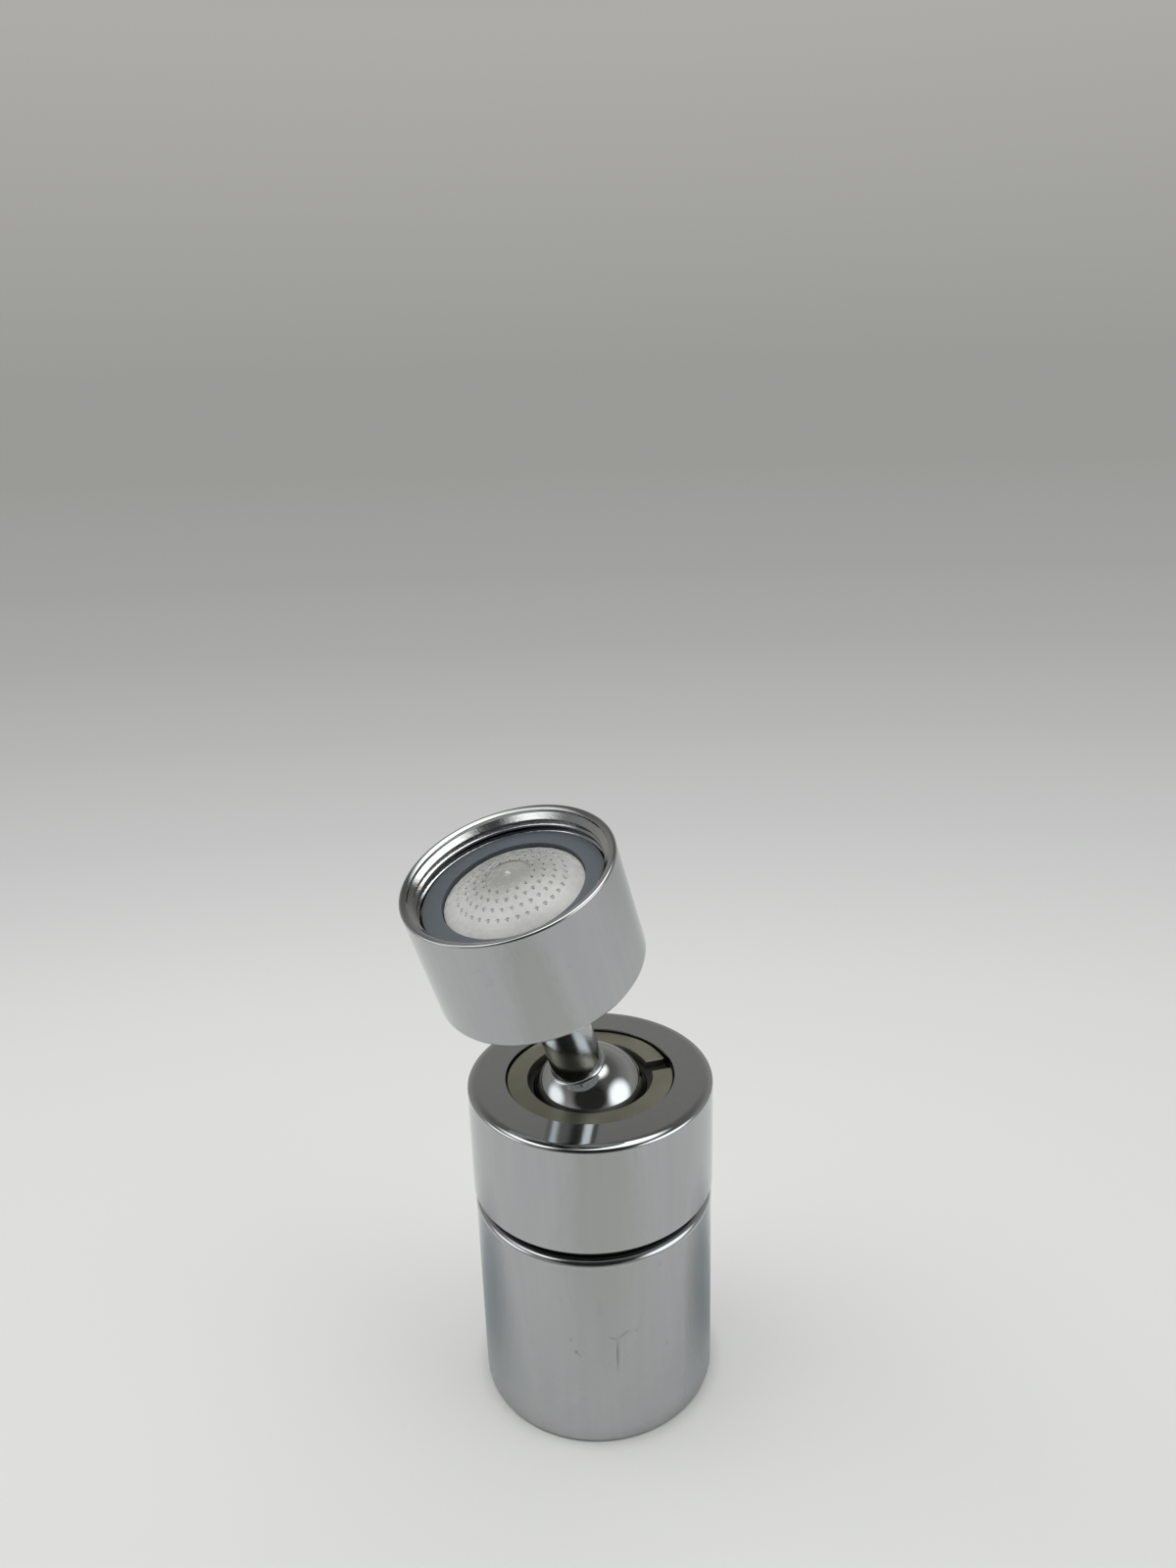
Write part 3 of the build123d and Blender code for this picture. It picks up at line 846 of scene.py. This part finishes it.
# Each pin hole has a countersunk mouth and is drawn along the dome's axis
hole_pitch = 1.1 * mm
hole_radius = 0.11 * mm
hole_mouth_radius = 0.28 * mm
hole_sink = 0.09 * mm
hole_depth = 2.4 * mm
pin_lift = 0.2 * mm
first_hole_ring = 2.88 * mm
hole_rings = 4
pin = turn("hole_pin", [
    (0, -hole_depth),
    (hole_radius, -hole_depth),
    (hole_radius, -hole_sink),
    (hole_mouth_radius, 0),
    (hole_mouth_radius, pin_lift),
    (0, pin_lift),
], {}, closed=False, steps=12)
pins = []
for ring_number in range(hole_rings):
    hole_ring = first_hole_ring + ring_number * hole_pitch
    hole_count = round(math.tau * hole_ring / hole_pitch)
    hole_height = sphere_centre[1] + math.sqrt(dome_sphere ** 2 - hole_ring ** 2)
    for hole in range(hole_count):
        turn_angle = math.tau * (hole + ring_number / hole_rings) / hole_count
        bpy.ops.object.select_all(action="DESELECT")
        pin.select_set(True)
        bpy.ops.object.duplicate()
        copy = bpy.context.selected_objects[0]
        copy.location = (hole_ring * math.cos(turn_angle), hole_ring * math.sin(turn_angle), hole_height)
        pins.append(copy)
bpy.ops.object.select_all(action="DESELECT")
for copy in pins:
    copy.select_set(True)
bpy.context.view_layer.objects.active = pins[0]
bpy.ops.object.join()
bpy.data.objects.remove(pin)
cut_away(dome, bpy.context.object)
place_piece(dome, leaning)


# Polypropylene, injection moulded in natural white: milky and a little see-through. Painted shade darkens its tint
# round a spot beside the crown, and the pip takes a painted highlight. The turned mould leaves fine rings in its
# soft gloss.
def natural_polypropylene(stand):
    material, tree, shader, place = new_material(
        "natural_polypropylene", IOR=1.49, Subsurface_Weight=0.3, Subsurface_Scale=0.5 * mm,
    )
    shader.inputs["Subsurface Radius"].default_value = (1.0, 1.0, 1.0)
    cloud_size = 0.9 * mm
    tool_feed = 0.24 * mm
    cloud_share = 0.2
    painted_shade_radius = 2.5 * mm
    painted_light_radius = 9.4 * mm
    painted_shade_shift = (1.5 * mm, 1.3 * mm, 0)
    painted_shade_centre = stand @ Matrix.Translation(painted_shade_shift)
    from_axis = distance_from_axis(tree, place, stand)
    clouds = add_node(tree, "ShaderNodeTexNoise", {"Vector": place, "Scale": 1 / cloud_size, "Detail": 3.0})
    # Painted shade: the tint is darkest round a spot beside the crown and grows paler out towards the rim
    painted_shade_falloff = add_node(tree, "ShaderNodeMapRange", {
        "Value": distance_from_axis(tree, place, painted_shade_centre),
        "From Min": painted_shade_radius,
        "From Max": painted_light_radius,
    }, interpolation_type="SMOOTHSTEP").outputs[0]
    clouds_and_painted_shade = add_node(tree, "ShaderNodeMath", {
        0: clouds.outputs["Fac"],
        1: cloud_share,
        2: painted_shade_falloff,
    }, operation="MULTIPLY_ADD")
    # Painted highlight: the pip at the crown takes the palest grey
    painted_highlight_on_pip = add_node(tree, "ShaderNodeMath", {0: from_axis, 1: pip_radius}, operation="LESS_THAN")
    tone_and_painted_light = add_node(tree, "ShaderNodeMath", {
        0: clouds_and_painted_shade.outputs[0],
        1: painted_highlight_on_pip.outputs[0],
    }, operation="MAXIMUM")
    tint = add_node(tree, "ShaderNodeMix", {
        "Factor": tone_and_painted_light.outputs[0],
        "A": linear("868784"),
        "B": linear("c4c5c3"),
    }, data_type="RGBA")
    ring_number = add_node(tree, "ShaderNodeMath", {0: from_axis, 1: tool_feed}, operation="DIVIDE")
    rings = add_node(tree, "ShaderNodeMath", {0: ring_number.outputs[0], 1: 1.0}, operation="PINGPONG")
    gloss = add_node(tree, "ShaderNodeMapRange", {
        "Value": clouds.outputs["Fac"],
        "To Min": 0.2,
        "To Max": 0.34,
    })
    relief = add_node(tree, "ShaderNodeBump", {"Height": rings.outputs[0], "Distance": 0.004 * mm})
    tree.links.new(tint.outputs["Result"], shader.inputs["Base Color"])
    tree.links.new(gloss.outputs[0], shader.inputs["Roughness"])
    tree.links.new(relief.outputs[0], shader.inputs["Normal"])
    return material


dome.data.materials.append(natural_polypropylene(leaning))
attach(dome, "head")
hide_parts("filter_dome")

# Inlet washer
# The flat ring that seals the cup against the tap and holds the filter down. It is punched from rubber
# sheet and only pressed in, so its edges are crisp.
washer = turn("flat_washer", [
    (washer_bore, washer_bottom),
    (washer_radius, washer_bottom),
    (washer_radius, washer_face),
    (washer_bore, washer_face),
], {3: 0.06 * mm})
place_piece(washer, leaning)


# EPDM rubber sheet: slate grey, dull, with a fine cloth-like grain from calendering and a few pale specks.
def washer_rubber():
    material, tree, shader, place = new_material("epdm_rubber_sheet", IOR=1.5)
    grain_size = 0.35 * mm
    grain = add_node(tree, "ShaderNodeTexNoise", {"Vector": place, "Scale": 1 / grain_size, "Detail": 5.0})
    tint = add_node(tree, "ShaderNodeMix", {
        "Factor": grain.outputs["Fac"],
        "A": linear("444a51"),
        "B": linear("545c63"),
    }, data_type="RGBA")
    dullness = add_node(tree, "ShaderNodeMapRange", {
        "Value": grain.outputs["Fac"],
        "To Min": 0.45,
        "To Max": 0.6,
    })
    relief = add_node(tree, "ShaderNodeBump", {"Height": grain.outputs["Fac"], "Distance": 0.008 * mm})
    tree.links.new(tint.outputs["Result"], shader.inputs["Base Color"])
    tree.links.new(dullness.outputs[0], shader.inputs["Roughness"])
    tree.links.new(relief.outputs[0], shader.inputs["Normal"])
    return material


washer.data.materials.append(washer_rubber())
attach(washer, "head")
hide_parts("inlet_washer")

# Studio floor
# A wide sheet of pale matt paper that the object stands on. Near the object it takes light and shadow.
# Further out it glows evenly, in greys that fall off with distance and meet the backdrop's grey, so that
# no edge shows.
floor_size = 40.0
floor_drop = 0.01 * mm
bpy.ops.object.select_all(action="DESELECT")
bpy.ops.mesh.primitive_plane_add(size=floor_size, location=(0, 0, -floor_drop))
floor = bpy.context.object
floor.name = "studio_floor"
paper, paper_tree, paper_shader, paper_place = new_material("matt_paper", Roughness=0.9)
paper_shader.inputs["Base Color"].default_value = linear("dfe0df")
# The fade reaches further to the camera's sides than along its line of sight
sight_turn = math.radians(-43.31)
side_stretch = 2
fade_place = add_node(paper_tree, "ShaderNodeMapping", {
    "Vector": paper_place,
    "Rotation": (0, 0, sight_turn),
    "Scale": (side_stretch, 1, 1),
}, vector_type="TEXTURE").outputs[0]
reach = add_node(paper_tree, "ShaderNodeVectorMath", {0: fade_place}, operation="LENGTH").outputs["Value"]
paper_reach = 1.5
far_reach = add_node(paper_tree, "ShaderNodeMapRange", {"Value": reach, "From Max": paper_reach}).outputs[0]
far_greys = add_node(paper_tree, "ShaderNodeValToRGB", {"Fac": far_reach}, stops=[
    (0.03 / paper_reach, linear("d8d9d8")),
    (1.0, linear("9a9a97")),
    (0.1 / paper_reach, linear("d5d6d5")),
    (0.15 / paper_reach, linear("cbcccb")),
    (0.2 / paper_reach, linear("c2c3c2")),
    (0.295 / paper_reach, linear("b5b6b4")),
    (0.43 / paper_reach, linear("a9aaa8")),
    (0.66 / paper_reach, linear("a1a19f")),
    (1.2 / paper_reach, linear("9c9c99")),
])
far_paper = add_node(paper_tree, "ShaderNodeEmission", {"Color": far_greys.outputs["Color"]})
near_reach = 0.03
glow_reach = 0.2
near_glow_share = 0.4
foot_shade_width = 2 * mm
glow_share = add_node(paper_tree, "ShaderNodeMapRange", {
    "Value": reach,
    "From Min": near_reach,
    "From Max": glow_reach,
    "To Min": near_glow_share,
}, interpolation_type="SMOOTHSTEP").outputs[0]
from_object = add_node(paper_tree, "ShaderNodeVectorMath", {
    0: paper_place,
}, operation="LENGTH").outputs["Value"]
off_the_foot = add_node(paper_tree, "ShaderNodeMapRange", {
    "Value": from_object,
    "From Min": sleeve_radius,
    "From Max": sleeve_radius + foot_shade_width,
}, interpolation_type="SMOOTHSTEP").outputs[0]
glow_share = add_node(paper_tree, "ShaderNodeMath", {
    0: glow_share,
    1: off_the_foot,
}, operation="MULTIPLY").outputs[0]
ray = add_node(paper_tree, "ShaderNodeLightPath", {}).outputs
mirrored = add_node(paper_tree, "ShaderNodeMath", {
    0: ray["Is Glossy Ray"],
    1: ray["Is Transmission Ray"],
}, operation="MAXIMUM").outputs[0]
seen = add_node(paper_tree, "ShaderNodeMath", {
    0: ray["Is Camera Ray"],
    1: mirrored,
}, operation="MAXIMUM").outputs[0]
seen_glow_share = add_node(paper_tree, "ShaderNodeMath", {
    0: seen,
    1: glow_share,
}, operation="MULTIPLY").outputs[0]
paper_mix = add_node(paper_tree, "ShaderNodeMixShader", {
    0: seen_glow_share,
    1: paper_shader.outputs[0],
    2: far_paper.outputs[0],
})
paper_tree.links.new(paper_mix.outputs[0], paper_tree.nodes["Material Output"].inputs["Surface"])
floor.data.materials.append(paper)

# Studio backdrop
# The grey all round above the floor: pale above the horizon and dark overhead, where the chromed edges
# mirror it as a thin dark line.
backdrop = bpy.data.worlds.new("studio_backdrop")
bpy.context.scene.world = backdrop
backdrop.use_nodes = True
sky_tree = backdrop.node_tree
direction = add_node(sky_tree, "ShaderNodeTexCoord", {}).outputs["Generated"]
sky_height = add_node(sky_tree, "ShaderNodeSeparateXYZ", {"Vector": direction}).outputs["Z"]
sky = add_node(sky_tree, "ShaderNodeValToRGB", {"Fac": sky_height}, stops=[
    (0.0, linear("9a9a97")),
    (1.0, linear("5f5e5c")),
    (0.235, linear("adaca9")),
    (0.45, linear("9c9b98")),
    (0.55, linear("959491")),
    (0.62, linear("868583")),
    (0.7, linear("767573")),
    (0.8, linear("6a6967")),
])
sky_tree.links.new(sky.outputs["Color"], sky_tree.nodes["Background"].inputs["Color"])

# Studio light
# Four glowing panels with soft edges: overhead, at the camera's right, at its left and high at its left.
# A net behind the camera and a small card by it keep the chrome dark in front and shade the floor there,
# two soft lamps light the object and the floor, and pale grey sheets on the floor paint shade into the chrome's
# reflection only.
camera_place = Vector((-84.46, -90.86, 124.13)) * mm
camera_side = Vector((camera_place.x, camera_place.y, 0)).normalized()
camera_right = Vector((0, 0, 1)).cross(camera_side)
object_centre = (cad_low + cad_high) / 2


def set_round(bearing, elevation, distance):
    """A place round the object, by its bearing from the camera's side, and a turn that faces the object."""
    side = Matrix.Rotation(math.radians(bearing), 3, "Z") @ camera_side
    level = side * math.cos(math.radians(elevation))
    outwards = level + Vector((0, 0, math.sin(math.radians(elevation))))
    facing = (-outwards).to_track_quat("-Z", "Y").to_matrix().to_4x4()
    return Matrix.Translation(object_centre + outwards * distance) @ facing


def hang_sheet(name, stand, width, height, fade_start, material_parts):
    """A sheet that the camera doesn't show. It thins out to nothing from a share of its half size."""
    material, tree, surface, place = material_parts
    bpy.ops.object.select_all(action="DESELECT")
    bpy.ops.mesh.primitive_plane_add(size=2)
    sheet = bpy.context.object
    sheet.name = name
    sheet.matrix_world = stand @ Matrix.Diagonal((width / 2, height / 2, 1, 1))
    out = add_node(tree, "ShaderNodeVectorMath", {0: place}, operation="LENGTH").outputs["Value"]
    weight = add_node(tree, "ShaderNodeMapRange", {
        "Value": out,
        "From Min": fade_start,
        "From Max": 1.0,
        "To Min": 1.0,
        "To Max": 0.0,
    }, interpolation_type="SMOOTHSTEP").outputs[0]
    thinned = add_node(tree, "ShaderNodeMixShader", {
        0: weight,
        1: add_node(tree, "ShaderNodeBsdfTransparent", {}).outputs[0],
        2: surface,
    })
    tree.links.new(thinned.outputs[0], tree.nodes["Material Output"].inputs["Surface"])
    sheet.data.materials.append(material)
    sheet.visible_camera = False
    return sheet


# A glowing panel, lit evenly on the side that faces the object.
def glow(name, radiance, colour):
    material, tree, _, place = new_material(name)
    facing_object = add_node(tree, "ShaderNodeNewGeometry", {}).outputs["Backfacing"]
    strength = add_node(tree, "ShaderNodeMath", {
        0: facing_object,
        1: radiance,
    }, operation="MULTIPLY").outputs[0]
    light = add_node(tree, "ShaderNodeEmission", {"Color": linear(colour), "Strength": strength})
    return material, tree, light.outputs[0], place


# Felt, dull all over: dark for the net and the card, and grey for the sheets of painted shade on the floor.
def felt(name, colour):
    material, tree, shader, place = new_material(name, Roughness=1.0)
    shader.inputs["Base Color"].default_value = linear(colour)
    return material, tree, shader.outputs[0], place


overhead_height = 0.33
overhead_set_back = 0.03
overhead_shift_right = 0.02
overhead_place = Vector((0, 0, overhead_height)) - overhead_set_back * camera_side
overhead_place += overhead_shift_right * camera_right
overhead_turn = math.atan2(-camera_side.x, camera_side.y)
overhead = Matrix.Translation(overhead_place) @ Matrix.Rotation(overhead_turn, 4, "Z")
# Name, place and turn, width and height in metres, share of the half size where it thins, radiance, colour
panels = [
    ("overhead", overhead, 0.36, 0.3, 0.5, 3.0, "fffefb"),
    ("right", set_round(68, 24, 0.42), 0.54, 0.42, 0.4, 2.2, "fafdff"),
    ("left", set_round(-80, 18, 0.42), 0.44, 0.28, 0.3, 1.8, "fafdff"),
    ("high_left", set_round(-80, 57, 0.42), 0.46, 0.28, 0.3, 2.3, "fffefb"),
]
for name, stand, width, height, fade_start, radiance, colour in panels:
    hang_sheet(name + "_panel", stand, width, height, fade_start, glow(name + "_glow", radiance, colour))
dark_felt = "3a3937"
hang_sheet("studio_net", set_round(0, 38, 0.32), 0.6, 0.54, 0.4, felt("net_felt", dark_felt))
hang_sheet("studio_card", set_round(0, 36, 0.17), 0.24, 0.16, 0.6, felt("card_felt", dark_felt))


def hang_lamp(name, stand, width, height, power):
    """A wide soft lamp that lights the object and the floor, and that the chrome doesn't mirror."""
    bpy.ops.object.light_add(type="AREA")
    lamp = bpy.context.object
    lamp.name = name
    lamp.matrix_world = stand
    lamp.data.shape = "ELLIPSE"
    lamp.data.size = width
    lamp.data.size_y = height
    lamp.data.energy = power
    lamp.visible_camera = False
    lamp.visible_glossy = False


fill_height = 0.36
wide_fill = Matrix.Translation((0, 0, fill_height)) @ Matrix.Rotation(overhead_turn, 4, "Z")
hang_lamp("overhead_fill", wide_fill, width=0.65, height=0.43, power=0.66)
hang_lamp("left_fill", set_round(-110, 38, 0.45), width=0.29, height=0.22, power=0.3)

# Grey sheets on the floor that only the chrome shows, as painted shade in its reflection: one in front, and one at
# each side
# Name, bearing in degrees, distance, width and length in mm, share where it thins, colour
shade_sheet_lift = 0.3 * mm
mirrored_shade_sheets = [
    ("front_mirrored_shade", 8, 62, 90, 100, 0.3, "cfcfcc"),
    ("left_mirrored_shade", -104, 27, 44, 58, 0.15, "adb3b7"),
    ("right_mirrored_shade", 105, 27, 44, 58, 0.15, "a8aeb2"),
]
for name, bearing, distance, width, length, fade_start, colour in mirrored_shade_sheets:
    way = Matrix.Rotation(math.radians(bearing), 3, "Z") @ camera_side
    shade_sheet_turn = math.atan2(-way.x, way.y)
    shade_sheet_place = Matrix.Translation(way * distance * mm + Vector((0, 0, shade_sheet_lift)))
    shade_sheet_place = shade_sheet_place @ Matrix.Rotation(shade_sheet_turn, 4, "Z")
    shade_sheet = hang_sheet(name, shade_sheet_place, width * mm, length * mm, fade_start, felt(name + "_felt", colour))
    # Painted shade: these sheets light and shade nothing, and show only in mirrors
    shade_sheet.visible_diffuse = False
    shade_sheet.visible_shadow = False

# Camera
# It stands close, above and in front of the object, and looks a little down past it.
camera_dip = 19.42
camera_roll = -1.776
camera_turn = Matrix.Rotation(sight_turn, 4, "Z")
camera_turn = camera_turn @ Matrix.Rotation(math.radians(90 - camera_dip), 4, "X")
camera_turn = camera_turn @ Matrix.Rotation(math.radians(camera_roll), 4, "Z")
bpy.ops.object.camera_add(location=camera_place, rotation=camera_turn.to_euler())
camera = bpy.context.object
camera.data.lens = 27
camera.data.sensor_width = 36
camera.data.clip_start = 0.01
camera.data.clip_end = 2 * floor_size
bpy.context.scene.camera = camera
bpy.context.scene.view_settings.view_transform = "Standard"
